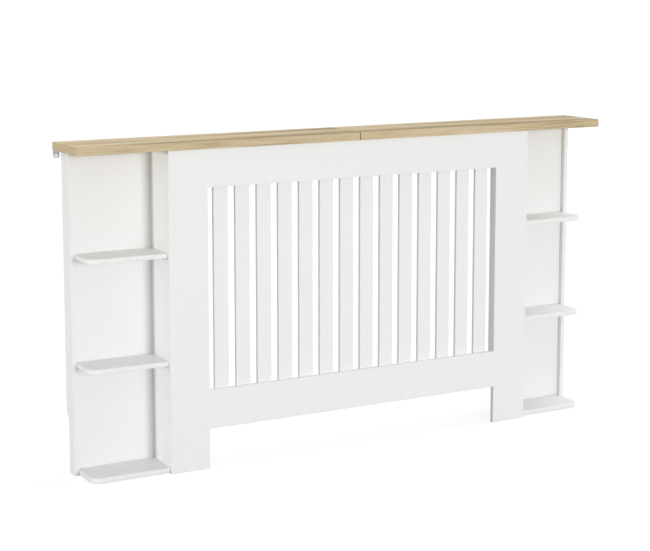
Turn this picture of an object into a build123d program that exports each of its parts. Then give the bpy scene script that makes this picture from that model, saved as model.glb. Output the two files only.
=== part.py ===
from build123d import *
import math
import os

# Radiator cover cabinet. A slatted box stands over the radiator, an open shelf bay stands on each
# side of it, and a top in two halves covers all three. Sizes are in millimetres. X runs along the
# wall, the front faces -Y, Z is up, and the origin is on the floor in the middle of the cabinet.
# A "depth" is a distance out from the wall.

# ---------------------------------------------------------------- overall sizes
total_height = 815.0
top_length = 1520.0
top_depth = 158.0
top_thickness = 20.0
end_overhang = 22.0  # top beyond each outer upright
front_overhang = 6.0  # top beyond the front panel

# ---------------------------------------------------------------- front panel and grille
panel_thickness = 12.0
stile_width = 102.0  # front panel beside the grille, down to the foot
top_rail_height = 95.0
bottom_rail_height = 98.0
leg_height = 100.0
slat_count = 14
slat_width = 39.0
slat_thickness = 8.0
slat_overlap = 28.0  # hidden behind the rails at each end
batten_width = 40.0  # upright batten behind the panel, flush with the opening
batten_thickness = 15.0
batten_end_gap = 10.0  # batten short of the leg cut-out and of the top

# ---------------------------------------------------------------- box
side_thickness = 12.0
rear_rail_height = 60.0
rear_rail_thickness = 12.0
skirting_depth = 15.0
skirting_height = 135.0  # upright part of the notch, before its 45 degree slope

# ---------------------------------------------------------------- shelf bays
bay_width = 213.0  # upright's outer face to box side
upright_depth = 50.0
upright_thickness = 12.0
bay_back_thickness = 12.0
bay_back_inset = 12.0  # behind the upright's front edge
shelf_count = 3
shelf_thickness = 12.0
shelf_pitch = 266.0
shelf_floor_gap = 2.0
shelf_corner_radius = 28.0

# ---------------------------------------------------------------- joining pieces
joining_board_width = 120.0
joining_board_thickness = 12.0
block_size = 20.0
block_height = 40.0
block_count = 3
block_end_inset = 60.0  # block's middle from the panel's ends
block_face = 7.0  # flat left on each leg beside the slanted face
block_screw_inset = 12.0  # screw axis from the inner corner of the box
block_bearing = 8.0  # plastic left under a screw's head
bracket_width = 16.0
bracket_leg = 20.0
bracket_thickness = 2.0
bracket_bend_radius = 1.5
bracket_corner_radius = 5.0
bracket_end_inset = 1.5  # from the top's end
bracket_hole_radius = 2.25
bracket_hole_distance = 13.0  # from the bend's outer face

# ---------------------------------------------------------------- screws and dowels
slat_screw_radius = 1.5
panel_screw_radius = 1.75
board_screw_radius = 2.0
head_ratio = 1.95  # head radius over shank radius
pan_head_height = 2.4
pan_crown_ratio = 0.6  # flat top of a raised head over its full radius
screw_point_radius = 0.5
board_screw_bite = 26.0  # into the end of a board
dowel_radius = 3.0
dowel_bevel = 0.8
dowel_depth = 16.0  # into the end of a board
blind_share = 0.6  # of a board's thickness, where a screw or dowel must not come through
drill_clearance = 0.15
drill_tip_room = 1.0
fastener_side_count = 6  # flats drawn round each small screw, dowel and its hole
batten_screw_count = 3
shelf_screw_count = 2
rail_screw_count = 2
joining_screw_count = 2
front_dowel_count = 4
joint_dowel_count = 2

# ---------------------------------------------------------------- finishes and fits
edge_ease = 1.0
slat_ease = 1.2
seat_gap = 0.3  # between pieces that only lie beside each other

# ---------------------------------------------------------------- derived places
wall_y = top_depth / 2
panel_height = total_height - top_thickness
front_depth = top_depth - front_overhang
side_depth = front_depth - panel_thickness
upright_out = top_length / 2 - end_overhang
upright_in = upright_out - upright_thickness
box_out = upright_out - bay_width
box_in = box_out - side_thickness
bay_back_front = upright_depth - bay_back_inset
bay_back_rear = bay_back_front - bay_back_thickness
opening_half = box_out - stile_width
opening_low = leg_height + bottom_rail_height
opening_high = panel_height - top_rail_height
slat_gap = (2 * opening_half - slat_count * slat_width) / (slat_count + 1)
bay_clear = upright_in - box_out
shelf_tops = [shelf_floor_gap + shelf_thickness + i * shelf_pitch for i in range(shelf_count)]
shelf_names = ["bottom", "middle", "upper", "high", "highest"][:shelf_count]
joining_board_reach = (rear_rail_thickness + seat_gap, side_depth - seat_gap)
sides = {"left": -1, "right": 1}
along = {"front": (0, -1, 0), "up": (0, 0, 1)}

pieces = {}
groups = {}


def y_at(depth):
    """Y of a distance out from the wall."""
    return wall_y - depth


def plank(x_low, x_high, depth_low, depth_high, z_low, z_high):
    """A square-edged board between two places along each axis."""
    size = (x_high - x_low, depth_high - depth_low, z_high - z_low)
    corner = Pos(x_low, y_at(depth_low), z_low)
    return corner * Box(*size, align=(Align.MIN, Align.MAX, Align.MIN))


def mirrored(solid, hand):
    """The left-hand solid as it is, or turned into the right-hand one."""
    return solid if hand < 0 else mirror(solid, about=Plane.YZ)


def spread(count, low, high):
    """Middles of equal stretches between two places."""
    stretch = (high - low) / count
    return [low + (index + 0.5) * stretch for index in range(count)]


# ---------------------------------------------------------------- fasteners
def turned(rings, across_flats=False):
    """A small turned solid drawn with flats, through rings given as (radius, height)."""
    turn = 2 * math.pi / fastener_side_count
    grow = 1 / math.cos(turn / 2) if across_flats else 1
    loops = [
        [(grow * radius * math.cos(i * turn), grow * radius * math.sin(i * turn), height)
         for i in range(fastener_side_count)]
        for radius, height in rings
    ]
    outlines = [loops[0], loops[-1]]
    for upper, lower in zip(loops, loops[1:]):
        outlines += [[upper[i - 1], upper[i], lower[i], lower[i - 1]] for i in range(fastener_side_count)]
    return Solid(Shell([Face(Wire.make_polygon(outline)) for outline in outlines]))


class Fastener:
    """A pin or screw whose tip points down -Z, with the drilling that clears it all round."""

    def __init__(self, rings, drill_rings):
        self.solid = turned(rings)
        self.drill = turned(drill_rings, across_flats=True)


def countersunk_screw(shank_radius, length):
    """Flat head flush with the face at Z 0."""
    head_radius = shank_radius * head_ratio
    head_depth = head_radius - shank_radius
    hole = shank_radius + drill_clearance
    bottom = -length - drill_tip_room
    return Fastener(
        [
            (head_radius, 0),
            (shank_radius, -head_depth),
            (shank_radius, shank_radius - length),
            (screw_point_radius, -length),
        ],
        [
            (head_radius + 2 * drill_clearance, drill_clearance),
            (hole, -head_depth),
            (hole, bottom),
        ],
    )


def pan_screw(shank_radius, length, access=0.0):
    """Raised head that bears at Z 0, in a pocket as deep as the access that it needs."""
    head_radius = shank_radius * head_ratio
    hole = shank_radius + drill_clearance
    drill = [(hole, 0), (hole, -length - drill_tip_room)]
    if access:
        pocket = head_radius + drill_clearance
        drill = [(pocket, access), (pocket, 0)] + drill
    return Fastener(
        [
            (head_radius * pan_crown_ratio, pan_head_height),
            (head_radius, 0),
            (shank_radius, 0),
            (shank_radius, shank_radius - length),
            (screw_point_radius, -length),
        ],
        drill,
    )


def dowel(length):
    """Wooden dowel, centred on Z 0, with its ends bevelled."""
    half = length / 2
    room = half + drill_tip_room / 2
    hole = dowel_radius + drill_clearance
    return Fastener(
        [
            (dowel_radius - dowel_bevel, half),
            (dowel_radius, half - dowel_bevel),
            (dowel_radius, dowel_bevel - half),
            (dowel_radius - dowel_bevel, -half),
        ],
        [(hole, room), (hole, -room)],
    )


def aimed(point, direction):
    """A place at a point, with the fastener's tip turned along a direction."""
    return Plane(origin=point, z_dir=tuple(-c for c in direction)).location


def fasten(node, fastener, spots, *drilled):
    """Add one fastener at each spot and drill the named pieces for them."""
    groups.setdefault(node, []).extend(spot * fastener.solid for spot in spots)
    for name in drilled:
        pieces[name] -= [spot * fastener.drill for spot in spots]


# ---------------------------------------------------------------- top
def top_half(hand):
    """One half of the top, from the middle joint to its end, with every edge eased."""
    low, high = sorted((0, hand * top_length / 2))
    board = plank(low, high, 0, top_depth, panel_height, total_height)
    return chamfer(board.edges(), edge_ease)


# ---------------------------------------------------------------- front panel and grille
def front_panel():
    """One board with the grille opening and the cut-out that leaves two legs."""
    face = Plane(origin=(0, y_at(side_depth), 0), x_dir=(1, 0, 0), z_dir=(0, -1, 0))
    bottom = (Align.CENTER, Align.MIN)
    outline = Rectangle(2 * box_out, panel_height, align=bottom)
    opening = Rectangle(2 * opening_half, opening_high - opening_low, align=bottom)
    cutout = Rectangle(2 * opening_half, leg_height, align=bottom)
    outline -= Pos(0, opening_low) * opening
    outline -= cutout
    board = extrude(face * outline, panel_thickness)
    front_edges = board.faces().sort_by(Axis.Y)[0].edges()
    return chamfer(front_edges, edge_ease)


def slat_middle(index):
    """X of a slat's middle: equal gaps beside and between all slats."""
    return -opening_half + slat_gap * (index + 1) + slat_width * (index + 0.5)


def slat(index):
    """Upright slat, rounded along its two front edges, lapped behind both rails."""
    bottom_front = Pos(slat_middle(index), y_at(side_depth), opening_low - slat_overlap)
    section = Rectangle(slat_width, slat_thickness, align=(Align.CENTER, Align.MIN))
    section = fillet(section.vertices().group_by(Axis.Y)[0], slat_ease)
    return bottom_front * extrude(section, opening_high - opening_low + 2 * slat_overlap)


def grille_batten():
    """Upright batten behind the left stile, flush with the opening's edge."""
    return plank(
        -opening_half - batten_width,
        -opening_half,
        side_depth - batten_thickness,
        side_depth,
        leg_height + batten_end_gap,
        panel_height - batten_end_gap,
    )


# ---------------------------------------------------------------- boards that stand on the floor
def notched_board(x_high, thickness, depth):
    """Board in the YZ plane, cut away at its bottom rear corner to clear a skirting board."""
    plane = Plane(origin=(x_high, wall_y, 0), x_dir=(0, -1, 0), z_dir=(-1, 0, 0))
    outline = Polyline(
        (0, panel_height),
        (depth, panel_height),
        (depth, 0),
        (skirting_depth, 0),
        (skirting_depth, skirting_height),
        (0, skirting_height + skirting_depth),
        close=True,
    )
    return extrude(plane * make_face(outline), thickness)


def outer_upright():
    """Left outer upright, with the long edges of its front eased."""
    board = notched_board(-upright_in, upright_thickness, upright_depth)
    front = board.faces().sort_by(Axis.Y)[0]
    return chamfer(front.edges().filter_by(Axis.Z), edge_ease)


def bay_back():
    """Back panel of the left bay, between the upright and the box side."""
    return plank(-upright_in, -box_out, bay_back_rear, bay_back_front, 0, panel_height)


def shelf(top_z):
    """Left bay shelf, flush with the box side's front edge, round at its outer front corner."""
    depth = side_depth - bay_back_front
    outline = Rectangle(bay_clear, depth, align=(Align.MIN, Align.MAX))
    outer_front = outline.vertices().group_by(Axis.X)[0].sort_by(Axis.Y)[0]
    outline = fillet(outer_front, shelf_corner_radius)
    rear_corner = Pos(-upright_in, y_at(bay_back_front), top_z - shelf_thickness)
    board = rear_corner * extrude(outline, shelf_thickness)
    upper, lower = board.faces().sort_by(Axis.Z)[-1], board.faces().sort_by(Axis.Z)[0]
    rim = ShapeList(upper.edges() + lower.edges())
    against_back = rim.filter_by(Axis.X).group_by(Axis.Y)[-1]
    against_box = rim.filter_by(Axis.Y).group_by(Axis.X)[-1]
    return chamfer(rim - against_back - against_box, edge_ease)


# ---------------------------------------------------------------- hidden joining pieces
def rear_rail():
    """Rail at the wall that carries the top's back edge between the box sides."""
    low = panel_height - rear_rail_height
    return plank(-box_in, box_in, 0, rear_rail_thickness, low, panel_height)


def joining_board():
    """Board under the joint between the two halves of the top."""
    half = joining_board_width / 2
    low = panel_height - joining_board_thickness
    board = plank(-half, half, *joining_board_reach, low, panel_height)
    return chamfer(board.edges().filter_by(Axis.Z), 2 * edge_ease)


def corner_block(middle_z):
    """Moulded block in the left front corner of the box, with a slanted inner face."""
    outline = Polyline(
        (0, 0),
        (block_size, 0),
        (block_size, block_face),
        (block_face, block_size),
        (0, block_size),
        close=True,
    )
    corner = Pos(-box_in, y_at(side_depth), middle_z - block_height / 2)
    return corner * extrude(make_face(outline), block_height)


def wall_bracket():
    """Left angle bracket: one leg under the top, the other against the wall, round corners."""
    right = -top_length / 2 + bracket_end_inset + bracket_width
    middle_x = right - bracket_width / 2
    plane = Plane(origin=(right, wall_y, panel_height), x_dir=(0, -1, 0), z_dir=(-1, 0, 0))
    corner = (Align.MIN, Align.MAX)
    section = Rectangle(bracket_leg, bracket_leg, align=corner)
    section -= Pos(bracket_thickness, -bracket_thickness) * Rectangle(bracket_leg, bracket_leg, align=corner)
    bend = section.vertices().sort_by_distance((0, 0, 0))
    section = fillet(bend[0], bracket_bend_radius + bracket_thickness)
    bend = section.vertices().sort_by_distance((bracket_thickness, -bracket_thickness, 0))
    section = fillet(bend[0], bracket_bend_radius)
    angle = extrude(plane * section, bracket_width)
    wall_end = angle.edges().filter_by(Axis.Y).group_by(Axis.Z)[0]
    top_end = angle.edges().filter_by(Axis.Z).group_by(Axis.Y)[0]
    angle = fillet(wall_end + top_end, bracket_corner_radius)
    drill = Cylinder(bracket_hole_radius, 4 * bracket_thickness)
    wall_hole = Pos(middle_x, wall_y, panel_height - bracket_hole_distance) * Rot(90, 0, 0)
    top_hole = Pos(middle_x, y_at(bracket_hole_distance), panel_height)
    return angle - [wall_hole * drill, top_hole * drill]


# ---------------------------------------------------------------- the boards
for side, hand in sides.items():
    pieces[f"top_{side}"] = top_half(hand)
    pieces[f"grille_batten_{side}"] = mirrored(grille_batten(), hand)
    box_side = notched_board(-box_in, side_thickness, side_depth)
    pieces[f"box_side_{side}"] = mirrored(box_side, hand)
    pieces[f"upright_{side}"] = mirrored(outer_upright(), hand)
    pieces[f"bay_back_{side}"] = mirrored(bay_back(), hand)
    pieces[f"wall_bracket_{side}"] = mirrored(wall_bracket(), hand)
    for name, top_z in zip(shelf_names, shelf_tops):
        pieces[f"shelf_{side}_{name}"] = mirrored(shelf(top_z), hand)
pieces["front_panel"] = front_panel()
pieces["rear_rail"] = rear_rail()
pieces["joining_board"] = joining_board()
for index in range(slat_count):
    pieces[f"slat_{index + 1:02d}"] = slat(index)

# ---------------------------------------------------------------- the fasteners
into_panel = panel_thickness * blind_share
into_side = side_thickness * blind_share
into_top = top_thickness * blind_share
into_upright = upright_thickness * blind_share

# Grille: every slat and batten is screwed to the panel from behind.
slat_screw = countersunk_screw(slat_screw_radius, slat_thickness + into_panel)
slat_ends = (opening_low - slat_overlap / 2, opening_high + slat_overlap / 2)
for index in range(slat_count):
    seat_y = y_at(side_depth - slat_thickness)
    spots = [aimed((slat_middle(index), seat_y, z), along["front"]) for z in slat_ends]
    fasten("slat_screws", slat_screw, spots, f"slat_{index + 1:02d}", "front_panel")
batten_screw = countersunk_screw(panel_screw_radius, batten_thickness + into_panel)
batten_heights = spread(batten_screw_count, leg_height, panel_height)
for side, hand in sides.items():
    x = hand * (opening_half + batten_width / 2)
    seat_y = y_at(side_depth - batten_thickness)
    spots = [aimed((x, seat_y, z), along["front"]) for z in batten_heights]
    fasten("batten_screws", batten_screw, spots, f"grille_batten_{side}", "front_panel")

# Box corners: each moulded block has one screw to the side and one to the front panel.
block_screw = pan_screw(panel_screw_radius, block_bearing + into_side, access=block_size)
block_span = panel_height - 2 * block_end_inset
block_heights = [block_end_inset + i * block_span / (block_count - 1) for i in range(block_count)]
for side, hand in sides.items():
    blocks = f"corner_blocks_{side}"
    pieces[blocks] = Compound([mirrored(corner_block(z), hand) for z in block_heights])
    to_side, to_front = [], []
    for middle_z in block_heights:
        low, high = spread(2, middle_z - block_height / 2, middle_z + block_height / 2)
        seat = (hand * (box_in - block_bearing), y_at(side_depth - block_screw_inset), high)
        to_side.append(aimed(seat, (hand, 0, 0)))
        seat = (hand * (box_in - block_screw_inset), y_at(side_depth - block_bearing), low)
        to_front.append(aimed(seat, along["front"]))
    fasten("block_screws", block_screw, to_side, blocks, f"box_side_{side}")
    fasten("block_screws", block_screw, to_front, blocks, "front_panel")

# Bays: each shelf is screwed through the bay back and through the box side. The bay back is
# screwed through the box side and sits on dowels in the upright.
back_screw = countersunk_screw(board_screw_radius, bay_back_thickness + board_screw_bite)
side_screw = countersunk_screw(board_screw_radius, side_thickness + board_screw_bite)
upright_dowel = dowel(dowel_depth + into_upright)
bay_heights = [top_z + shelf_pitch / 2 for top_z in shelf_tops]
bay_back_middle = (bay_back_front + bay_back_rear) / 2
for side, hand in sides.items():
    back, box_side = f"bay_back_{side}", f"box_side_{side}"
    outward, inward = (hand, 0, 0), (-hand, 0, 0)
    for name, top_z in zip(shelf_names, shelf_tops):
        board = f"shelf_{side}_{name}"
        z = top_z - shelf_thickness / 2
        rear = [
            aimed((hand * x, y_at(bay_back_rear), z), along["front"])
            for x in spread(shelf_screw_count, box_out, upright_in)
        ]
        end = aimed((hand * box_in, y_at((bay_back_front + side_depth) / 2), z), outward)
        fasten("shelf_screws", back_screw, rear, back, board)
        fasten("bay_screws", side_screw, [end], box_side, board)
    to_back = [aimed((hand * box_in, y_at(bay_back_middle), z), outward) for z in bay_heights]
    fasten("bay_screws", side_screw, to_back, box_side, back)
    pin_middle = hand * (upright_in + (into_upright - dowel_depth) / 2)
    pins = [aimed((pin_middle, y_at(bay_back_middle), z), outward) for z in bay_heights]
    fasten("upright_dowels", upright_dowel, pins, back, f"upright_{side}")

    rail_low = panel_height - rear_rail_height
    rail_ends = [
        aimed((hand * box_out, y_at(rear_rail_thickness / 2), z), inward)
        for z in spread(rail_screw_count, rail_low, panel_height)
    ]
    fasten("rail_screws", side_screw, rail_ends, box_side, "rear_rail")

# Top: dowels stand in the panels' top edges and lie across the joint. The joining board is
# screwed up into both halves, and each bracket into its end.
top_dowel = dowel(dowel_depth + into_top)
joint_dowel = dowel(2 * dowel_depth)
joining_screw = countersunk_screw(panel_screw_radius, joining_board_thickness + into_top)
bracket_screw = pan_screw(board_screw_radius, bracket_thickness + into_top)
top_dowel_z = panel_height + (into_top - dowel_depth) / 2
pegs = [("front_panel", x, side_depth + panel_thickness / 2)
        for x in spread(front_dowel_count, -box_out, box_out)]
for side, hand in sides.items():
    pegs.append((f"box_side_{side}", hand * (box_in + box_out) / 2, side_depth / 2))
    pegs.append((f"upright_{side}", hand * (upright_in + upright_out) / 2, upright_depth / 2))
for board, x, depth in pegs:
    half = "top_left" if x < 0 else "top_right"
    fasten("top_dowels", top_dowel, [aimed((x, y_at(depth), top_dowel_z), along["up"])], board, half)
joint_spots = [
    aimed((0, y_at(depth), panel_height + top_thickness / 2), (1, 0, 0))
    for depth in spread(joint_dowel_count, 0, top_depth)
]
fasten("joint_dowels", joint_dowel, joint_spots, "top_left", "top_right")
for side, hand in sides.items():
    low = panel_height - joining_board_thickness
    spots = [
        aimed((hand * joining_board_width / 4, y_at(depth), low), along["up"])
        for depth in spread(joining_screw_count, *joining_board_reach)
    ]
    fasten("joining_screws", joining_screw, spots, "joining_board", f"top_{side}")
    x = hand * (top_length / 2 - bracket_end_inset - bracket_width / 2)
    seat = (x, y_at(bracket_hole_distance), panel_height - bracket_thickness)
    fasten("bracket_screws", bracket_screw, [aimed(seat, along["up"])], f"top_{side}")

# ---------------------------------------------------------------- write the pieces
os.makedirs("parts", exist_ok=True)
for node, solids in groups.items():
    pieces[node] = Compound(solids)
for node, shape in pieces.items():
    export_step(shape, f"parts/{node}.step")
print(f"{len(pieces)} nodes, slat gap {slat_gap:.2f} mm, opening {2 * opening_half:.0f} mm")
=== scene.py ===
"""Dresses a slatted radiator cover cabinet: rounded boards, an oak-effect top, screws, dowels,
moulded corner blocks and wall brackets, with a plain studio round it. Lengths are in metres."""

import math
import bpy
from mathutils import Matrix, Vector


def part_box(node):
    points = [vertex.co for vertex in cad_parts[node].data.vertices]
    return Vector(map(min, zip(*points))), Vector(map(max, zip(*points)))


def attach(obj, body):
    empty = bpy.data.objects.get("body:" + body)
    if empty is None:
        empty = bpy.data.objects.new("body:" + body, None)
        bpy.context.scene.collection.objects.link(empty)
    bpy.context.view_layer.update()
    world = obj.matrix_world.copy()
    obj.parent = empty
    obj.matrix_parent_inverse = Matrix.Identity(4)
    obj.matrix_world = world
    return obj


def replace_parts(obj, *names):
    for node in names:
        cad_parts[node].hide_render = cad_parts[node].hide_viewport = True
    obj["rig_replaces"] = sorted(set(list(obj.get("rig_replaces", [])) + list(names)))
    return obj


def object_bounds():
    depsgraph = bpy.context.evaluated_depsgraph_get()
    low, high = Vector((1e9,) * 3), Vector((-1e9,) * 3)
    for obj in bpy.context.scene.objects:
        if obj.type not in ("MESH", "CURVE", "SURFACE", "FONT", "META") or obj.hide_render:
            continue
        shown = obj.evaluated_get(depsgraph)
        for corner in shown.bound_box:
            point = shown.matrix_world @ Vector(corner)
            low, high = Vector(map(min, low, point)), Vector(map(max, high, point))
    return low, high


bl_info = {
    "name": "Radiator Cover Cabinet",
    "version": (1, 0, 0),
    "blender": (4, 5, 0),
    "location": "View3D > Sidebar > Radiator Cover",
    "description": "Dresses a slatted radiator cover with shelf bays and an oak-effect top",
    "category": "Object",
}

from contextlib import contextmanager

import bmesh
import bpy
from mathutils import Matrix, Vector

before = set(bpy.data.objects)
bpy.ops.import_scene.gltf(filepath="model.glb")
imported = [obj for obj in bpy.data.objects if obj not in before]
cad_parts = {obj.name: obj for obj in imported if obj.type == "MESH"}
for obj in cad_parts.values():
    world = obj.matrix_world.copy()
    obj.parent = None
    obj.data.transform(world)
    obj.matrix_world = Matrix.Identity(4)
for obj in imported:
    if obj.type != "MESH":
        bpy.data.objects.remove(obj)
cad_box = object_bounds()

BODY = "root"
SIDES = {"left": -1, "right": 1}
SLATS = sorted(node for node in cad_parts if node.startswith("slat_") and node[-1].isdigit())
SHELVES = ("bottom", "middle", "upper")
DECIMALS = 6  # the frame's places are rounded to a micrometre
TINY = 1e-5  # two places closer than this are one
SAME_RING = 1e-4  # two rings of a screw or dowel closer than this are one
PAST = 0.004  # how far a cutter reaches past the face it cuts
SHARP = math.radians(40)  # a larger turn between two faces is a real edge
TOWARDS = 0.5  # a face looks along an axis where its normal has more of it than this


# ---------------------------------------------------------------- settings in the sidebar
def length(name, description, default):
    """A length property in metres."""
    return bpy.props.FloatProperty(
        name=name,
        description=description,
        default=default,
        min=0.0,
        unit="LENGTH",
        precision=5,
    )


def colour(name, description, default):
    """A scene-linear colour property."""
    return bpy.props.FloatVectorProperty(
        name=name,
        description=description,
        default=default,
        min=0.0,
        max=1.0,
        size=3,
        subtype="COLOR",
    )


def amount(name, description, default):
    """A plain number property."""
    return bpy.props.FloatProperty(name=name, description=description, default=default, min=0.0)


class CoverSizes(bpy.types.PropertyGroup):
    """Sizes of the finish that the boards and fittings get."""

    board_round: length("Board edge", "Radius on plain edges, such as a panel's front", 0.0009)
    hidden_round: length("Hidden edge", "Radius on edges that lie against another board", 0.0003)
    top_round: length("Top edge", "Radius on the edges of the oak-effect top", 0.0012)
    joint_chamfer: length("Joint chamfer", "Chamfer on the front of the top's middle joint", 0.0009)
    shelf_round: length("Shelf edge", "Radius on open edges of shelves and joining board", 0.0020)
    shelf_corner: length("Shelf corner", "Radius of a shelf's outer front corner", 0.028)
    slat_round: length("Slat edge", "Radius on the front edges of the slats", 0.0014)
    block_wall: length("Block wall", "Wall left round the hollow ends of a corner block", 0.0020)
    block_hollow: length("Block hollow", "Depth of the hollow ends of a corner block", 0.0045)
    bracket_bend: length("Bracket bend", "Inner radius of a wall bracket's bend", 0.0015)
    bracket_corner: length("Bracket corner", "Radius of a wall bracket's round corners", 0.005)
    hole_play: length("Hole play", "Room round a screw in its hole or countersink", 0.00025)
    head_sink: length("Head sink", "Depth of a screw head below the face round it", 0.0002)
    thread_pitch: length("Thread pitch", "Rise of a screw thread in one turn", 0.0014)


class CoverColours(bpy.types.PropertyGroup):
    """Colours of the finishes."""

    oak_pale: colour("Pale oak", "Palest streaks of the oak effect", (0.680, 0.562, 0.380))
    oak_mid: colour("Oak", "Ground colour of the oak effect", (0.587, 0.478, 0.300))
    oak_dark: colour("Dark oak", "Grain lines of the oak effect", (0.350, 0.268, 0.148))
    core: colour("Board core", "Bare chipboard at the joint of the top", (0.130, 0.088, 0.046))
    foil: colour("White foil", "White face of the boards", (0.855, 0.855, 0.850))
    block: colour("Block plastic", "Moulded corner blocks", (0.76, 0.76, 0.74))
    zinc: colour("Zinc plate", "Brackets and screws", (0.46, 0.46, 0.50))
    beech: colour("Beech", "Dowels", (0.66, 0.47, 0.28))


class CoverStage(bpy.types.PropertyGroup):
    """Light and floor of the studio."""

    floor: colour("Floor", "Floor as the camera sees it", (0.98, 0.98, 0.98))
    floor_bounce: colour("Floor bounce", "Floor as the light sees it", (0.56, 0.55, 0.53))
    ambient: amount("Ambient", "Light from all round", 0.60)
    front: amount("Front light", "Soft light from the front", 0.447)
    above: amount("Top light", "Soft light from above", 0.28)
    left: amount("Side light", "Soft light along the wall from the left", 0.335)
    behind: amount("Back light", "Soft light on the back, which the front does not see", 0.20)


# ---------------------------------------------------------------- finishes
class Value:
    """A number socket that Python's operators work on, each through its own Math node."""

    def __init__(self, finish, socket):
        self.finish = finish
        self.socket = socket

    def math(self, operation, first, second):
        """The result of one Math node."""
        return self.finish.node("ShaderNodeMath", {"operation": operation}, {0: first, 1: second})

    def __add__(self, other):
        return self.math("ADD", self, other)

    def __radd__(self, other):
        return self.math("ADD", other, self)

    def __sub__(self, other):
        return self.math("SUBTRACT", self, other)

    def __rsub__(self, other):
        return self.math("SUBTRACT", other, self)

    def __mul__(self, other):
        return self.math("MULTIPLY", self, other)

    def __rmul__(self, other):
        return self.math("MULTIPLY", other, self)

    def over(self, limit):
        """1 where the number is over a limit, and 0 elsewhere."""
        return self.math("GREATER_THAN", self, limit)

    def size(self):
        """The number without its sign."""
        return self.math("ABSOLUTE", self, 0.0)

    def between(self, low, high):
        """A smooth rise from 0 at a low number to 1 at a high one."""
        return self.finish.node(
            "ShaderNodeMapRange",
            {"interpolation_type": "SMOOTHSTEP"},
            {"Value": self, "From Min": low, "From Max": high},
            "Result",
        )


class Finish:
    """A node tree under construction, for a material or for the world."""

    def __init__(self, owner):
        owner.use_nodes = True
        self.owner = owner
        self.tree = owner.node_tree

    def node(self, kind, settings, sockets, output=0):
        """Add a node, set it up, feed its sockets with values or links, and give one output."""
        made = self.tree.nodes.new(kind)
        for name, setting in settings.items():
            setattr(made, name, setting)
        for name, fed in sockets.items():
            self.feed(made.inputs[name], fed)
        return Value(self, made.outputs[output])

    def feed(self, socket, fed):
        """Link a socket to another one, or set the number or colour that it holds."""
        if isinstance(fed, Value):
            self.tree.links.new(fed.socket, socket)
        elif socket.type == "RGBA":
            socket.default_value = (*fed, 1.0)
        else:
            socket.default_value = fed

    def parts(self, vector):
        """The three numbers of a vector."""
        split = self.node("ShaderNodeSeparateXYZ", {}, {"Vector": vector}, "X").socket.node
        return [Value(self, socket) for socket in split.outputs]

    def place(self):
        """Object coordinates, in metres."""
        return self.parts(self.node("ShaderNodeTexCoord", {}, {}, "Object"))

    def noise(self, place, waves, detail=2.0, roughness=0.5):
        """Soft noise from 0 to 1, with so many waves to a metre along each of three directions."""
        scaled = {axis: part * count for axis, part, count in zip("XYZ", place, waves)}
        vector = self.node("ShaderNodeCombineXYZ", {}, scaled, "Vector")
        sockets = {"Vector": vector, "Scale": 1.0, "Detail": detail, "Roughness": roughness}
        return self.node("ShaderNodeTexNoise", {}, sockets)

    def blend(self, share, low, high):
        """A colour between two others."""
        settings = {"data_type": "RGBA"}
        return self.node("ShaderNodeMix", settings, {0: share, 6: low, 7: high}, 2)

    def bump(self, height, depth):
        """A normal that follows a height from 0 to 1, over a depth in metres."""
        sockets = {"Strength": 1.0, "Distance": depth, "Height": height}
        return self.node("ShaderNodeBump", {}, sockets, "Normal")

    def surface(self, sockets):
        """Feed the material's own shader, and give the material."""
        for name, fed in sockets.items():
            self.feed(self.tree.nodes["Principled BSDF"].inputs[name], fed)
        return self.owner


def darkened(colour, share):
    """A colour at a share of its brightness."""
    return tuple(share * part for part in colour)


OAK_START = 11.1  # where the top's left half lies in the endless oak pattern
OAK_HALF_STEP = 2.6  # how much further along it the right half lies
OAK_EDGE_STEP = 4.2  # how much further along it the edges' bands lie
OAK_SWAY = 0.045  # how far the grain sways to the side
OAK_CONTRAST = 0.30  # of the bands on the board's edges
OAK_TOP_CONTRAST = 0.34  # more of it on the flat top
OAK_STREAKS = 0.30  # share of the fine streaks in the tone
OAK_DARK = 0.002  # how much darker the whole is
OAK_TOP_PAINTED_SHADE = 0.035  # painted shade: how much darker the flat top is besides
OAK_END_PAINTED_SHADE = 0.04  # painted shade: how much darker the end faces are besides


def oak_finish(name, colours):
    """Printed oak: bands that sway along the board, fine streaks and short dark pores, with painted
    shade on the flat top and the end faces.
    """
    finish = Finish(bpy.data.materials.new(name))
    x, y, z = finish.place()
    far_corner = cad_box[1]
    rounding = bpy.context.scene.cover_sizes.top_round
    end_face = x.size().over(far_corner.x - rounding / 2)
    flat_top = z.between(far_corner.z - rounding, far_corner.z - rounding / 3)
    along = x + end_face * (y - x) + x.over(0.0) * OAK_HALF_STEP + OAK_START
    across = y + end_face * (x - y)
    sway = finish.noise((along, across, z), (1.7, 4.0, 4.0), detail=1.0) - 0.5
    swayed = across + sway * OAK_SWAY
    strip = along + (1.0 - flat_top) * OAK_EDGE_STEP
    bands = finish.noise((strip, swayed, z), (1.3, 22.0, 12.0), detail=3.0) - 0.5
    streaks = finish.noise((along, swayed, z), (8.0, 300.0, 260.0), detail=3.0, roughness=0.6)
    specks = finish.noise((along, across, z), (85.0, 1500.0, 1500.0), detail=1.0)
    pores = specks.between(0.60, 0.74)
    contrast = flat_top * OAK_TOP_CONTRAST + OAK_CONTRAST
    # dark is painted shade on the flat top and the end faces, plus a slight even darkening of the
    # whole
    dark = flat_top * OAK_TOP_PAINTED_SHADE + end_face * OAK_END_PAINTED_SHADE + OAK_DARK
    shade = (bands * contrast + streaks * OAK_STREAKS - dark).between(-0.02, 0.26)
    ground = finish.blend(shade.between(0.0, 0.55), colours.oak_dark, colours.oak_mid)
    pale = finish.blend(shade.between(0.35, 1.0), ground, colours.oak_pale)
    dotted = finish.blend(pores * 0.35, pale, colours.oak_dark)
    relief = streaks * 0.5 - pores * 0.5
    return finish.surface({
        "Base Color": dotted,
        "Roughness": 0.52 + streaks * 0.10 + pores * 0.1,
        "Specular IOR Level": 0.06,
        "Normal": finish.bump(relief, 0.00006),
    })


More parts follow.
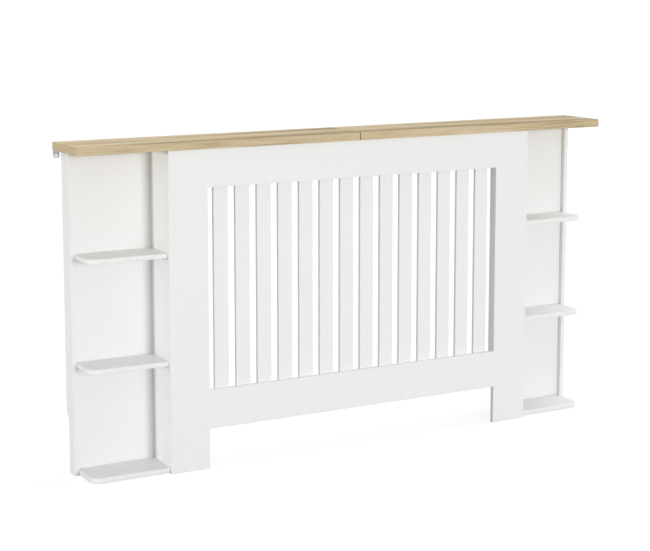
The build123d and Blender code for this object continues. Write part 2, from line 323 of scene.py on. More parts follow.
def core_finish(name, colours):
    """Bare chipboard: pressed flakes with dark gaps."""
    finish = Finish(bpy.data.materials.new(name))
    flakes = finish.noise(finish.place(), (400.0, 400.0, 900.0), detail=3.0, roughness=0.7)
    gaps = darkened(colours.core, 0.45)
    return finish.surface({
        "Base Color": finish.blend(flakes.between(0.35, 0.6), gaps, colours.core),
        "Roughness": 0.80 + flakes * 0.15,
        "Specular IOR Level": 0.1,
        "Normal": finish.bump(flakes, 0.0002),
    })


def foil_finish(name, colours):
    """White foil on board: satin, with the faint orange peel of a pressed surface."""
    finish = Finish(bpy.data.materials.new(name))
    place = finish.place()
    cloud = finish.noise(place, (6.0, 6.0, 6.0), detail=3.0)
    peel = finish.noise(place, (900.0, 900.0, 900.0))
    return finish.surface({
        "Base Color": finish.blend(cloud, darkened(colours.foil, 0.975), colours.foil),
        "Roughness": 0.42 + cloud * 0.08 + peel * 0.05,
        "Specular IOR Level": 0.4,
        "Normal": finish.bump(peel, 0.00002),
    })


def block_finish(name, colours):
    """Moulded plastic with a fine spark-eroded texture."""
    finish = Finish(bpy.data.materials.new(name))
    place = finish.place()
    texture = finish.noise(place, (1800.0, 1800.0, 1800.0), roughness=0.7)
    flow = finish.noise(place, (60.0, 60.0, 20.0))
    return finish.surface({
        "Base Color": finish.blend(flow, darkened(colours.block, 0.92), colours.block),
        "Roughness": 0.50 + texture * 0.15,
        "Normal": finish.bump(texture, 0.00004),
    })


def zinc_finish(name, colours):
    """Zinc plate: fine rolled lines, with duller and brighter patches."""
    finish = Finish(bpy.data.materials.new(name))
    place = finish.place()
    patches = finish.noise(place, (260.0, 260.0, 260.0), detail=3.0)
    lines = finish.noise(place, (3500.0, 400.0, 400.0))
    return finish.surface({
        "Base Color": finish.blend(patches, darkened(colours.zinc, 0.86), colours.zinc),
        "Metallic": 1.0,
        "Roughness": 0.34 + patches * 0.14 + lines * 0.06,
        "Normal": finish.bump(lines, 0.000008),
    })


def beech_finish(name, colours):
    """Raw beech: upright fibres and short flecks."""
    finish = Finish(bpy.data.materials.new(name))
    place = finish.place()
    fibres = finish.noise(place, (1400.0, 1400.0, 210.0), detail=3.0)
    flecks = finish.noise(place, (900.0, 900.0, 135.0)).between(0.58, 0.7)
    marks = flecks * 0.6 + fibres * 0.4
    return finish.surface({
        "Base Color": finish.blend(marks, colours.beech, darkened(colours.beech, 0.72)),
        "Roughness": 0.62 + fibres * 0.15,
        "Normal": finish.bump(fibres, 0.00008),
    })


FINISHES = {
    "oak_effect": (oak_finish, "oak_top"),
    "board_core": (core_finish, "oak_top"),
    "white_foil": (foil_finish, "white_board"),
    "white_plastic": (block_finish, "white_block"),
    "bracket_zinc": (zinc_finish, "zinc_bracket"),
    "screw_zinc": (zinc_finish, "zinc_screw"),
    "raw_beech": (beech_finish, "beech_dowel"),
}


def add_finish(piece, name):
    """Add one of the finishes to a piece. It is made when it is first asked for."""
    make, _ = FINISHES[name]
    made = bpy.data.materials.get(name) or make(name, bpy.context.scene.cover_colours)
    piece.data.materials.append(made)


# ---------------------------------------------------------------- modelling by hand, in code
def only(piece):
    """Select one piece alone and make it active."""
    bpy.ops.object.select_all(action="DESELECT")
    piece.select_set(True)
    bpy.context.view_layer.objects.active = piece


@contextmanager
def editing(piece, mode="EDGE"):
    """Edit mode on one piece, with nothing in it selected to begin with."""
    only(piece)
    bpy.ops.object.mode_set(mode="EDIT")
    bpy.ops.mesh.select_mode(type=mode)
    bpy.ops.mesh.select_all(action="DESELECT")
    yield bmesh.from_edit_mesh(piece.data)
    bpy.ops.object.mode_set(mode="OBJECT")


def anywhere(point):
    """A test that every point passes."""
    return True


def on(**places):
    """A test for points that lie on the given planes, such as on(x=0.1, z=0)."""
    wanted = [("xyz".index(axis), place) for axis, place in places.items()]
    return lambda point: all(abs(point[index] - place) < TINY for index, place in wanted)


def round_edges(piece, radius, where=anywhere, keep=(), segments=3):
    """Bevel the sharp edges whose ends both pass a test, but not those that pass one to keep."""
    with editing(piece) as mesh:
        for edge in mesh.edges:
            ends = [vertex.co for vertex in edge.verts]
            sharp = edge.calc_face_angle(0.0) > SHARP
            kept = any(all(map(test, ends)) for test in keep)
            edge.select_set(sharp and all(map(where, ends)) and not kept)
        bpy.ops.mesh.bevel(offset=radius, segments=segments, affect="EDGES")


def pick_faces(mesh, test):
    """Select, in edit mode, the faces that pass a test."""
    for face in mesh.faces:
        face.select_set(test(face))


def placed(name):
    """Put the active object's place into its mesh, name it and give it."""
    bpy.ops.object.transform_apply()
    made = bpy.context.active_object
    made.name = made.data.name = name
    return made


def board(name, low, high):
    """A square-edged board between two corners, to be shaped further."""
    bpy.ops.object.select_all(action="DESELECT")
    bpy.ops.mesh.primitive_cube_add(size=1, location=(low + high) / 2, scale=high - low)
    return placed(name)


def shape(piece, kind, **settings):
    """Add a modifier and apply it."""
    only(piece)
    modifier = piece.modifiers.new(kind.title(), kind)
    for name, setting in settings.items():
        setattr(modifier, name, setting)
    bpy.ops.object.modifier_apply(modifier=modifier.name)


def cut(piece, *cutters):
    """Take cutters' shapes out of a piece, and the cutters out of the scene."""
    for cutter in cutters:
        shape(piece, "BOOLEAN", operation="DIFFERENCE", solver="EXACT", object=cutter)
        bpy.data.objects.remove(cutter)


def joined(pieces, name):
    """One piece made of several."""
    first, *_ = pieces
    only(first)
    for piece in pieces:
        piece.select_set(True)
    if len(pieces) > 1:
        bpy.ops.object.join()
    first.name = first.data.name = name
    return first


def twin_of(piece):
    """A copy with its own mesh, alone selected and active."""
    only(piece)
    bpy.ops.object.duplicate()
    return bpy.context.active_object


def copied(piece, name, shift):
    """A copy with its own mesh, moved by a shift."""
    twin_of(piece)
    bpy.ops.transform.translate(value=shift)
    return placed(name)


def turned(name, rings, sides=24):
    """A turned solid along -Z: a disc extruded and resized from ring to ring."""
    (radius, drop), *rest = rings
    bpy.ops.object.select_all(action="DESELECT")
    bpy.ops.mesh.primitive_circle_add(
        vertices=sides, radius=radius, fill_type="NGON", location=(0, 0, -drop)
    )
    made = placed(name)
    with editing(made, "FACE"):
        bpy.ops.mesh.select_all(action="SELECT")
        for next_radius, next_drop in rest:
            step = (0, 0, drop - next_drop)
            grow = next_radius / radius
            bpy.ops.mesh.extrude_region_move(TRANSFORM_OT_translate={"value": step})
            bpy.ops.transform.resize(value=(grow, grow, 1))
            radius, drop = next_radius, next_drop
        bpy.ops.mesh.select_all(action="SELECT")
        bpy.ops.mesh.normals_make_consistent(inside=False)
    return made


def check_closed(piece):
    """Stop if a piece has an open edge or is inside out."""
    mesh = bmesh.new()
    mesh.from_mesh(piece.data)
    sound = all(edge.is_manifold for edge in mesh.edges) and mesh.calc_volume(signed=True) > 0
    mesh.free()
    if not sound:
        raise RuntimeError(f"{piece.name} is open or inside out")


def finished(piece, finish, *nodes):
    """Check and smooth a modelled piece, finish it, and let it stand for its CAD nodes."""
    check_closed(piece)
    only(piece)
    bpy.ops.object.shade_smooth_by_angle(angle=SHARP)
    shape(piece, "WEIGHTED_NORMAL", keep_sharp=True)
    piece.data.materials.clear()
    add_finish(piece, finish)
    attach(piece, BODY)
    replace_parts(piece, *nodes)


def finished_copy(piece, name, low, finish, node):
    """Copy a finished piece from its own CAD node's lowest corner to another node's."""
    twin = copied(piece, name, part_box(node)[0] - low)
    del twin["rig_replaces"]  # it came along with the copy
    finished(twin, finish, node)


# ---------------------------------------------------------------- places read from the frame
def corners(node):
    """The different corners of a CAD node."""
    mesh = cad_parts[node].data
    return {tuple(round(part, DECIMALS) for part in vertex.co) for vertex in mesh.vertices}


def solids(node):
    """The corners of each separate solid in a CAD node, in the same order on every run."""
    mesh = bmesh.new()
    mesh.from_mesh(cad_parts[node].data)
    bmesh.ops.remove_doubles(mesh, verts=mesh.verts, dist=TINY)
    left, found = set(mesh.verts), []
    while left:
        reached, front = set(), {left.pop()}
        while front:
            reached |= front
            front = {e.other_vert(v) for v in front for e in v.link_edges} - reached
        left -= reached
        found.append(sorted((vertex.co.copy() for vertex in reached), key=tuple))
    mesh.free()
    return sorted(found, key=lambda points: tuple(points[0]))


def low_high(points):
    """Lowest and highest corner round some points."""
    return Vector(map(min, *points)), Vector(map(max, *points))


def holds(low, high, point):
    """Whether a point lies between two corners or on their faces."""
    return all(a - TINY <= place <= b + TINY for a, place, b in zip(low, point, high))


class Fastener:
    """Where one CAD screw or dowel sits, and its outline as (radius, distance from its seat)."""

    def __init__(self, points):
        low, high = low_high(points)
        middle, size = (low + high) / 2, high - low
        axis = max(range(3), key=lambda index: size[index])
        rings = []
        for point in points:
            off = point - middle
            off[axis] = 0.0
            ring = Vector((off.length, point[axis]))
            if all((ring - other).length > SAME_RING for other in rings):
                rings.append(ring)
        widest = max(rings, key=lambda ring: ring[0])
        seat = widest[1]
        forward = high[axis] - seat > seat - low[axis]
        self.direction = Vector((0, 0, 0))
        self.direction[axis] = 1 if forward else -1
        self.seat = middle.copy()
        self.seat[axis] = seat
        way = self.direction[axis]
        outline = [(radius, round((place - seat) * way, DECIMALS)) for radius, place in rings]
        self.rings = sorted(outline, key=lambda ring: (ring[1], -ring[0]))
        self.head = widest[0]

    def matrix(self, sink=0.0):
        """Turns a solid modelled along -Z, with its seat at Z 0, into this place."""
        turn = self.direction.to_track_quat("-Z", "Y").to_matrix().to_4x4()
        return Matrix.Translation(self.seat + sink * self.direction) @ turn


def fasteners(node):
    """Every screw or dowel in a CAD node."""
    return [Fastener(points) for points in solids(node)]


def repeated(piece, spots, name, sink=0.0):
    """Copies of a piece, each with its own mesh, placed at every spot and made one."""
    made = []
    for spot in spots:
        twin = twin_of(piece)
        twin.data.transform(spot.matrix(sink))
        made.append(twin)
    bpy.data.objects.remove(piece)
    return joined(made, name)


def sink_heads(piece, *nodes):
    """Cut a round countersink in a board for each flat screw head that lies in its faces."""
    low, high = low_high([vertex.co for vertex in piece.data.vertices])
    for node in nodes:
        spots = [spot for spot in fasteners(node) if holds(low, high, spot.seat)]
        if not spots:
            continue
        (head, _), (shank, depth), *_ = spots[0].rings
        play = bpy.context.scene.cover_sizes.hole_play
        sink = bpy.context.scene.cover_sizes.head_sink
        rings = [(head + play, -PAST), (head + play, sink), (shank + play, depth + sink)]
        cut(piece, repeated(turned("countersink", rings), spots, "countersinks"))


# ---------------------------------------------------------------- boards
def notch_for_skirting(piece, node):
    """Cut a standing board's bottom rear corner away, to clear the wall's skirting board."""
    points = corners(node)
    wall = max(y for _, y, _ in points)
    slope_top = min(z for _, y, z in points if abs(y - wall) < TINY)
    face = max(y for _, y, z in points if abs(z) < TINY)
    low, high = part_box(node)
    cutter = board(
        "skirting_board",
        Vector((low.x - PAST, face, -PAST)),
        Vector((high.x + PAST, wall + PAST, slope_top + PAST)),
    )
    round_edges(cutter, wall - face + PAST, on(y=face, z=slope_top + PAST), segments=1)
    cut(piece, cutter)


class COVER_OT_top(bpy.types.Operator):
    """Make the two halves of the oak-effect top"""

    bl_idname = "cover.top"
    bl_label = "Oak-Effect Top"
    bl_options = {"REGISTER", "UNDO"}

    def execute(self, context):
        sizes = context.scene.cover_sizes
        for side, hand in SIDES.items():
            low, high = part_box(f"top_{side}")
            joint = high if hand < 0 else low
            joint.x += hand * sizes.hidden_round / 2  # a hairline between the halves
            half = board(f"oak_top_half_{side}", low, high)
            round_edges(half, sizes.top_round, keep=[on(x=joint.x)])
            ends = [(sizes.joint_chamfer, -high.z - PAST), (sizes.joint_chamfer, PAST - low.z)]
            groove = turned("joint_groove", ends, sides=4)
            groove.data.transform(Matrix.Translation((joint.x, low.y, 0)))
            cut(half, groove)
            finished(half, "oak_effect", f"top_{side}")
            add_finish(half, "board_core")
            for face in half.data.polygons:
                face.material_index = int(face.normal.x * hand < -TOWARDS)
        return {"FINISHED"}


class COVER_OT_front_panel(bpy.types.Operator):
    """Make the front panel, with its grille opening and the cut-out between its legs"""

    bl_idname = "cover.front_panel"
    bl_label = "Front Panel"
    bl_options = {"REGISTER", "UNDO"}

    def execute(self, context):
        sizes = context.scene.cover_sizes
        low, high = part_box("front_panel")
        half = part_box("grille_batten_right")[0].x
        at_opening = on(x=half, y=high.y)
        levels = sorted({z for x, y, z in corners("front_panel") if at_opening((x, y, z))})
        if len(levels) < 4:
            raise RuntimeError("the front panel has no grille opening and leg cut-out")
        _, leg_top, opening_low, opening_high = levels[:4]
        panel = board("slatted_front_panel", low, high)
        for bottom, top in ((low.z - PAST, leg_top), (opening_low, opening_high)):
            cutter = board(
                "opening",
                Vector((-half, low.y - PAST, bottom)),
                Vector((half, high.y + PAST, top)),
            )
            cut(panel, cutter)
        round_edges(panel, sizes.board_round, on(y=low.y))
        round_edges(panel, sizes.hidden_round, segments=2)
        finished(panel, "white_foil", "front_panel")
        return {"FINISHED"}


class COVER_OT_slats(bpy.types.Operator):
    """Make one grille slat and copy it along the opening"""

    bl_idname = "cover.slats"
    bl_label = "Grille Slats"
    bl_options = {"REGISTER", "UNDO"}

    def execute(self, context):
        sizes = context.scene.cover_sizes
        low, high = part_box(SLATS[0])
        slat = board("rounded_slat_01", low, high)
        ends = [on(z=low.z), on(z=high.z)]
        round_edges(slat, sizes.slat_round, on(y=low.y), keep=ends, segments=4)
        round_edges(slat, sizes.hidden_round, segments=2)
        sink_heads(slat, "slat_screws")
        finished(slat, "white_foil", SLATS[0])
        for number, node in enumerate(SLATS[1:], start=2):
            finished_copy(slat, f"rounded_slat_{number:02d}", low, "white_foil", node)
        return {"FINISHED"}


class COVER_OT_battens(bpy.types.Operator):
    """Make the upright battens behind the ends of the grille"""

    bl_idname = "cover.battens"
    bl_label = "Grille Battens"
    bl_options = {"REGISTER", "UNDO"}

    def execute(self, context):
        sizes = context.scene.cover_sizes
        for side in SIDES:
            node = f"grille_batten_{side}"
            batten = board(f"screwed_batten_{side}", *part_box(node))
            round_edges(batten, sizes.hidden_round, segments=2)
            sink_heads(batten, "batten_screws")
            finished(batten, "white_foil", node)
        return {"FINISHED"}


class COVER_OT_box_sides(bpy.types.Operator):
    """Make the sides of the box, notched for the skirting board"""

    bl_idname = "cover.box_sides"
    bl_label = "Box Sides"
    bl_options = {"REGISTER", "UNDO"}

    def execute(self, context):
        sizes = context.scene.cover_sizes
        for side in SIDES:
            node = f"box_side_{side}"
            made = board(f"notched_box_side_{side}", *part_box(node))
            notch_for_skirting(made, node)
            round_edges(made, sizes.hidden_round, segments=2)
            sink_heads(made, "bay_screws", "rail_screws")
            finished(made, "white_foil", node)
        return {"FINISHED"}


class COVER_OT_uprights(bpy.types.Operator):
    """Make the shallow outer uprights, notched for the skirting board"""

    bl_idname = "cover.uprights"
    bl_label = "Outer Uprights"
    bl_options = {"REGISTER", "UNDO"}

    def execute(self, context):
        sizes = context.scene.cover_sizes
        for side in SIDES:
            node = f"upright_{side}"
            low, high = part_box(node)
            made = board(f"notched_upright_{side}", low, high)
            notch_for_skirting(made, node)
            round_edges(made, sizes.board_round, on(y=low.y))
            round_edges(made, sizes.hidden_round, segments=2)
            finished(made, "white_foil", node)
        return {"FINISHED"}


class COVER_OT_bay_backs(bpy.types.Operator):
    """Make the back panels of the shelf bays"""

    bl_idname = "cover.bay_backs"
    bl_label = "Bay Backs"
    bl_options = {"REGISTER", "UNDO"}

    def execute(self, context):
        sizes = context.scene.cover_sizes
        for side in SIDES:
            node = f"bay_back_{side}"
            made = board(f"screwed_bay_back_{side}", *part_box(node))
            round_edges(made, sizes.hidden_round, segments=2)
            sink_heads(made, "shelf_screws")
            finished(made, "white_foil", node)
        return {"FINISHED"}


class COVER_OT_shelves(bpy.types.Operator):
    """Make one shelf for each bay, round at its outer corner, and copy it upwards"""

    bl_idname = "cover.shelves"
    bl_label = "Shelves"
    bl_options = {"REGISTER", "UNDO"}

    def execute(self, context):
        sizes = context.scene.cover_sizes
        for side, hand in SIDES.items():
            node = f"shelf_{side}_{SHELVES[0]}"
            low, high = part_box(node)
            outer, inner = (high.x, low.x) if hand > 0 else (low.x, high.x)
            shelf = board(f"rounded_{node}", low, high)
            round_edges(shelf, sizes.shelf_corner, on(x=outer, y=low.y), segments=14)
            against = [on(y=high.y), on(x=inner)]
            round_edges(shelf, sizes.shelf_round, keep=against, segments=4)
            round_edges(shelf, sizes.board_round, segments=2)
            finished(shelf, "white_foil", node)
            for level in SHELVES[1:]:
                node = f"shelf_{side}_{level}"
                finished_copy(shelf, f"rounded_{node}", low, "white_foil", node)
        return {"FINISHED"}


class COVER_OT_hidden_boards(bpy.types.Operator):
    """Make the rear rail and the joining board under the top"""

    bl_idname = "cover.hidden_boards"
    bl_label = "Rear Rail and Joining Board"
    bl_options = {"REGISTER", "UNDO"}

    def execute(self, context):
        sizes = context.scene.cover_sizes
        rail = board("rear_top_rail", *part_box("rear_rail"))
        round_edges(rail, sizes.board_round)
        finished(rail, "white_foil", "rear_rail")
        low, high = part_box("joining_board")
        joiner = board("top_joining_board", low, high)
        round_edges(joiner, sizes.shelf_round, on(z=low.z))
        round_edges(joiner, sizes.hidden_round, segments=2)
        sink_heads(joiner, "joining_screws")
        finished(joiner, "white_foil", "joining_board")
        return {"FINISHED"}


# ---------------------------------------------------------------- fittings
class COVER_OT_corner_blocks(bpy.types.Operator):
    """Mould one hollow-ended corner block for each side and copy it to its three places"""

    bl_idname = "cover.corner_blocks"
    bl_label = "Corner Blocks"
    bl_options = {"REGISTER", "UNDO"}

    def execute(self, context):
        sizes = context.scene.cover_sizes
        screws = fasteners("block_screws")
        for side, hand in SIDES.items():
            node = f"corner_blocks_{side}"
            blocks = [(*low_high(points), points) for points in solids(node)]
            (low, high, points), *others = sorted(blocks, key=lambda block: block[0].z)
            inner = low.x if hand > 0 else high.x
            reach = max(point.y for point in points if abs(point.x - inner) < TINY)
            block = board("moulded_block", low, high)
            round_edges(block, high.y - reach, on(x=inner, y=high.y), segments=1)
            with editing(block, "FACE") as mesh:
                pick_faces(mesh, lambda face: abs(face.normal.z) > TOWARDS)
                bpy.ops.mesh.inset(thickness=sizes.block_wall, use_individual=True)
                bpy.ops.mesh.extrude_region_shrink_fatten(
                    TRANSFORM_OT_shrink_fatten={"value": -sizes.block_hollow}
                )
            round_edges(block, sizes.block_wall / 4, segments=2)
            for screw in screws:
                if holds(low, high, screw.seat):
                    room = screw.head + sizes.hole_play
                    pocket = turned("pocket", [(room, low.x - high.x - PAST), (room, 0.0)])
                    pocket.data.transform(screw.matrix())
                    cut(block, pocket)
            copies = [copied(block, "moulded_block", other[0] - low) for other in others]
            finished(joined([block] + copies, f"moulded_blocks_{side}"), "white_plastic", node)
        return {"FINISHED"}


class COVER_OT_wall_brackets(bpy.types.Operator):
    """Bend and drill the two angle brackets that hold the top to the wall"""

    bl_idname = "cover.wall_brackets"
    bl_label = "Wall Brackets"
    bl_options = {"REGISTER", "UNDO"}

    def execute(self, context):
        sizes = context.scene.cover_sizes
        for side in SIDES:
            node = f"wall_bracket_{side}"
            low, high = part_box(node)
            screw = next(s for s in fasteners("bracket_screws") if low.x < s.seat.x < high.x)
            sheet = high.z - screw.seat.z
            angle = board(f"bent_wall_bracket_{side}", low, high)
            past = Vector((PAST, PAST, PAST))
            inside = Vector((high.x + PAST, high.y - sheet, high.z - sheet))
            cut(angle, board("inside", low - past, inside))
            outer_bend, inner_bend = on(y=high.y, z=high.z), on(y=inside.y, z=inside.z)
            round_edges(angle, sizes.bracket_bend + sheet, outer_bend, segments=7)
            round_edges(angle, sizes.bracket_bend, inner_bend, segments=7)
            for x in (low.x, high.x):
                round_edges(angle, sizes.bracket_corner, on(x=x, z=low.z), segments=7)
                round_edges(angle, sizes.bracket_corner, on(x=x, y=low.y), segments=7)
            hole = screw.rings[-2][0] + sizes.hole_play
            drill = [(hole, -PAST), (hole, PAST)]
            top_hole = turned("top_hole", drill)
            top_hole.data.transform(Matrix.Translation(screw.seat))
            wall_hole = turned("wall_hole", drill)
            wall_hole.data.transform(Matrix.Rotation(math.pi / 2, 4, "X"))
            height = high.z - (high.y - screw.seat.y)
            wall_hole.data.transform(Matrix.Translation((screw.seat.x, high.y, height)))
            cut(angle, top_hole, wall_hole)
            round_edges(angle, sheet / 10, segments=2)
            finished(angle, "bracket_zinc", node)
        return {"FINISHED"}


CROSS_REACH = 0.58  # of the cross in a screw's head, as a share of the head's radius
CROSS_DEPTH = 0.75  # the same, of its depth
CROSS_WIDTH = 0.25  # half the width of an arm, as a share of its reach
CROSS_FOOT = (0.35, 0.5, 1)  # length and width left at the bottom of an arm
PLAIN_SHANK = 0.35  # share of a screw's shank that has no thread
THREAD_TOOTH = 1 / 3  # radius of the thread's three-sided section, as a share of its pitch
THREAD_STEPS = 12  # straight runs in one turn of thread
DOWEL_SIDES = 24
FLUTE = 0.93  # radius at the bottom of a dowel's flutes, as a share of its own


def pan_head(crown, head, rise):
    """The rings of a low dome, from its flat crown to its rim."""
    return [
        (crown * 0.60, rise),
        (crown, rise * 0.94),
        (head * 0.85, rise * 0.72),
        (head, rise * 0.35),
    ]


def press_cross(screw, head, top):
    """Press a tapered cross into a screw's head."""
    reach = head * CROSS_REACH
    width = reach * CROSS_WIDTH
    low = Vector((-reach, -width, top - head * CROSS_DEPTH))
    high = Vector((reach, width, top + PAST))
    for quarter in (0, 1):
        arm = board("arm", low, high)
        with editing(arm, "FACE") as mesh:
            pick_faces(mesh, lambda face: face.normal.z < -TOWARDS)
            bpy.ops.transform.resize(value=CROSS_FOOT)
            bpy.ops.mesh.select_all(action="SELECT")
            bpy.ops.transform.rotate(
                value=quarter * math.pi / 2, orient_axis="Z", center_override=(0, 0, 0)
            )
        cut(screw, arm)


def thread(radius, start, end, pitch):
    """A coil of thread round a shank along -Z."""
    bpy.ops.object.select_all(action="DESELECT")
    bpy.ops.mesh.primitive_circle_add(
        vertices=3,
        radius=pitch * THREAD_TOOTH,
        location=(radius, 0, -start),
        rotation=(math.pi / 2, 0, 0),
    )
    coil = placed("thread")
    shape(
        coil,
        "SCREW",
        screw_offset=-pitch,
        iterations=int((end - start) / pitch),
        steps=THREAD_STEPS,
        render_steps=THREAD_STEPS,
        use_normal_calculate=True,
    )
    with editing(coil):
        bpy.ops.mesh.select_all(action="SELECT")
        bpy.ops.mesh.fill_holes(sides=3)
        bpy.ops.mesh.normals_make_consistent(inside=False)
    return coil


class COVER_OT_screws(bpy.types.Operator):
    """Turn, thread and recess one screw of each kind and copy it to its places"""

    bl_idname = "cover.screws"
    bl_label = "Screws"
    bl_options = {"REGISTER", "UNDO"}

    def execute(self, context):
        sizes = context.scene.cover_sizes
        for node in sorted(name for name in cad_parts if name.endswith("_screws")):
            spots = fasteners(node)
            rings, head = spots[0].rings, spots[0].head
            (crown, rise), *below = rings
            raised = rise < -TINY
            if raised:
                rings = pan_head(crown, head, rise) + below
            shank, point_start = rings[-2]
            screw = turned("screw", rings, sides=20)
            press_cross(screw, head, -rise)
            coil = thread(shank, point_start * PLAIN_SHANK, point_start, sizes.thread_pitch)
            screw = joined([screw, coil], "screw")
            sink = 0.0 if raised else sizes.head_sink
            made = repeated(screw, spots, f"threaded_{node}", sink)
            finished(made, "screw_zinc", node)
        return {"FINISHED"}


class COVER_OT_dowels(bpy.types.Operator):
    """Flute one dowel of each kind and copy it to its places"""

    bl_idname = "cover.dowels"
    bl_label = "Dowels"
    bl_options = {"REGISTER", "UNDO"}

    def execute(self, context):
        for node in sorted(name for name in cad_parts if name.endswith("_dowels")):
            spots = fasteners(node)
            radius = spots[0].head
            dowel = turned("dowel", spots[0].rings, sides=DOWEL_SIDES)
            with editing(dowel, "VERT") as mesh:
                for vertex in mesh.verts:
                    corner = round(math.atan2(vertex.co.y, vertex.co.x) / math.tau * DOWEL_SIDES)
                    outside = math.hypot(vertex.co.x, vertex.co.y) > radius - TINY
                    vertex.select_set(outside and corner % 2 == 1)
                bpy.ops.transform.resize(value=(FLUTE, FLUTE, 1))
            made = repeated(dowel, spots, f"fluted_{node}")
            finished(made, "raw_beech", node)
        return {"FINISHED"}


# ---------------------------------------------------------------- studio
CAMERA_PLACE = (-2.0206, -3.5531, 1.2098)
CAMERA_DOWN = 7.485  # degrees that the camera looks below level
CAMERA_RIGHT = 28.902  # degrees that it looks to the right of straight at the wall
CAMERA_LENS = 88.34  # in millimetres
CAMERA_SHIFT = -0.14  # of the frame's width
SUNS = (
    # strength in the stage's settings, name, which way it shines, width in degrees
    ("front", "front_light", (-0.12, 1, -0.09), 14),
    ("above", "top_light", (-0.45, -0.05, -1), 30),
    ("left", "side_light", (1, -0.018, -0.035), 2.4),
    ("behind", "back_light", (0, -1, -0.15), 14),
)
SUN_DISTANCE = 3  # about how far off a sun's symbol stands, which changes nothing in its light
FLOOR_SIZE = 400  # in metres, so that its far edge lies close to the horizon
FLOOR_GLOW = 0.80  # share of the floor's colour that the camera sees even in shadow
FLOOR_SHADE = 0.30  # share of it that the lights add, and that a shadow takes away


def sun(name, direction, strength, spread):
    """A soft sun that adds a share of plain light to what faces it."""
    turn = Vector(direction).to_track_quat("-Z", "Y").to_euler()
    bpy.ops.object.light_add(type="SUN", location=-SUN_DISTANCE * Vector(direction), rotation=turn)
    lamp = bpy.context.active_object
    lamp.name = name
    lamp.data.energy = strength * math.pi
    lamp.data.angle = math.radians(spread)


def seen_directly(finish):
    """1 for rays from the camera, or from it by way of metal or glass, and 0 for the others."""
    rays = finish.node("ShaderNodeLightPath", {}, {}, "Is Camera Ray").socket.node.outputs
    seen = Value(finish, rays["Is Camera Ray"])
    for kind in ("Is Glossy Ray", "Is Transmission Ray"):
        seen = seen.math("MAXIMUM", seen, Value(finish, rays[kind]))
    return seen


def aim_camera(scene):
    """Stand the camera at the photograph's viewing angle."""
    bpy.ops.object.select_all(action="DESELECT")
    turn = (math.radians(90 - CAMERA_DOWN), 0, math.radians(-CAMERA_RIGHT))
    bpy.ops.object.camera_add(location=CAMERA_PLACE, rotation=turn)
    camera = bpy.context.active_object
    camera.name = "photo_camera"
    camera.data.lens = CAMERA_LENS
    camera.data.shift_y = CAMERA_SHIFT
    scene.camera = camera
    scene.view_settings.view_transform = "Standard"


def hang_sky(scene, ambient):
    """Give the world a plain light from all round, and make it white to the camera."""
    world = Finish(bpy.data.worlds.new("studio"))
    scene.world = world.owner
    strength = seen_directly(world) * (1 - ambient) + ambient
    sky = world.node("ShaderNodeBackground", {}, {"Color": (1, 1, 1), "Strength": strength})
    world.feed(world.tree.nodes["World Output"].inputs["Surface"], sky)


def lay_floor(stage):
    """Lay a wide floor that looks near white to the camera and keeps the object's shadow."""
    bpy.ops.mesh.primitive_plane_add(size=FLOOR_SIZE)
    floor = bpy.context.active_object
    floor.name = "studio_floor"
    paper = Finish(bpy.data.materials.new("floor_paper"))
    glow = {"Color": darkened(stage.floor, FLOOR_GLOW), "Strength": 1.0}
    white = paper.node("ShaderNodeEmission", {}, glow)
    grey = {"Color": darkened(stage.floor, FLOOR_SHADE)}
    shade = paper.node("ShaderNodeBsdfDiffuse", {}, grey)
    seen = paper.node("ShaderNodeAddShader", {}, {0: white, 1: shade})
    bounce = paper.node("ShaderNodeBsdfDiffuse", {}, {"Color": stage.floor_bounce})
    mixed = paper.node("ShaderNodeMixShader", {}, {0: seen_directly(paper), 1: bounce, 2: seen})
    paper.feed(paper.tree.nodes["Material Output"].inputs["Surface"], mixed)
    floor.data.materials.append(paper.owner)


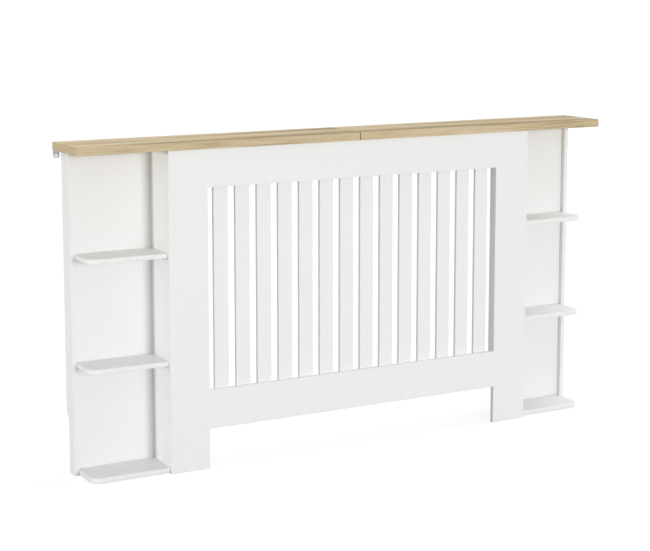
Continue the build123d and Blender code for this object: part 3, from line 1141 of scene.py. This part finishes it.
class COVER_OT_stage(bpy.types.Operator):
    """Set up the camera, the floor and the soft light of the studio"""

    bl_idname = "cover.stage"
    bl_label = "Studio"
    bl_options = {"REGISTER", "UNDO"}

    def execute(self, context):
        stage = context.scene.cover_stage
        aim_camera(context.scene)
        for strength, name, direction, spread in SUNS:
            sun(name, direction, getattr(stage, strength), spread)
        hang_sky(context.scene, stage.ambient)
        lay_floor(stage)
        return {"FINISHED"}


# ---------------------------------------------------------------- sidebar
OPERATORS = (
    COVER_OT_top,
    COVER_OT_front_panel,
    COVER_OT_slats,
    COVER_OT_battens,
    COVER_OT_box_sides,
    COVER_OT_uprights,
    COVER_OT_bay_backs,
    COVER_OT_shelves,
    COVER_OT_hidden_boards,
    COVER_OT_corner_blocks,
    COVER_OT_wall_brackets,
    COVER_OT_screws,
    COVER_OT_dowels,
    COVER_OT_stage,
)
SETTINGS = {"cover_sizes": CoverSizes, "cover_colours": CoverColours, "cover_stage": CoverStage}


class COVER_PT_panel(bpy.types.Panel):
    """Lists the pieces of the radiator cover and the settings that they are made from"""

    bl_idname = "COVER_PT_panel"
    bl_label = "Radiator Cover"
    bl_space_type = "VIEW_3D"
    bl_region_type = "UI"
    bl_category = "Radiator Cover"

    def draw(self, context):
        for settings, group in SETTINGS.items():
            box = self.layout.box()
            for name in group.__annotations__:
                box.prop(getattr(context.scene, settings), name)
        for operator in OPERATORS:
            self.layout.operator(operator.bl_idname)


CLASSES = (*SETTINGS.values(), *OPERATORS, COVER_PT_panel)


def register():
    """Make the classes and their settings known to Blender."""
    for made in CLASSES:
        bpy.utils.register_class(made)
    for name, group in SETTINGS.items():
        setattr(bpy.types.Scene, name, bpy.props.PointerProperty(type=group))


def unregister():
    """Take the classes and their settings out of Blender again."""
    for name in SETTINGS:
        delattr(bpy.types.Scene, name)
    for made in reversed(CLASSES):
        bpy.utils.unregister_class(made)


def main():
    """Make every piece in order."""
    register()
    for operator in OPERATORS:
        family, name = operator.bl_idname.split(".")
        getattr(getattr(bpy.ops, family), name)()


if __name__ == "__main__":
    main()
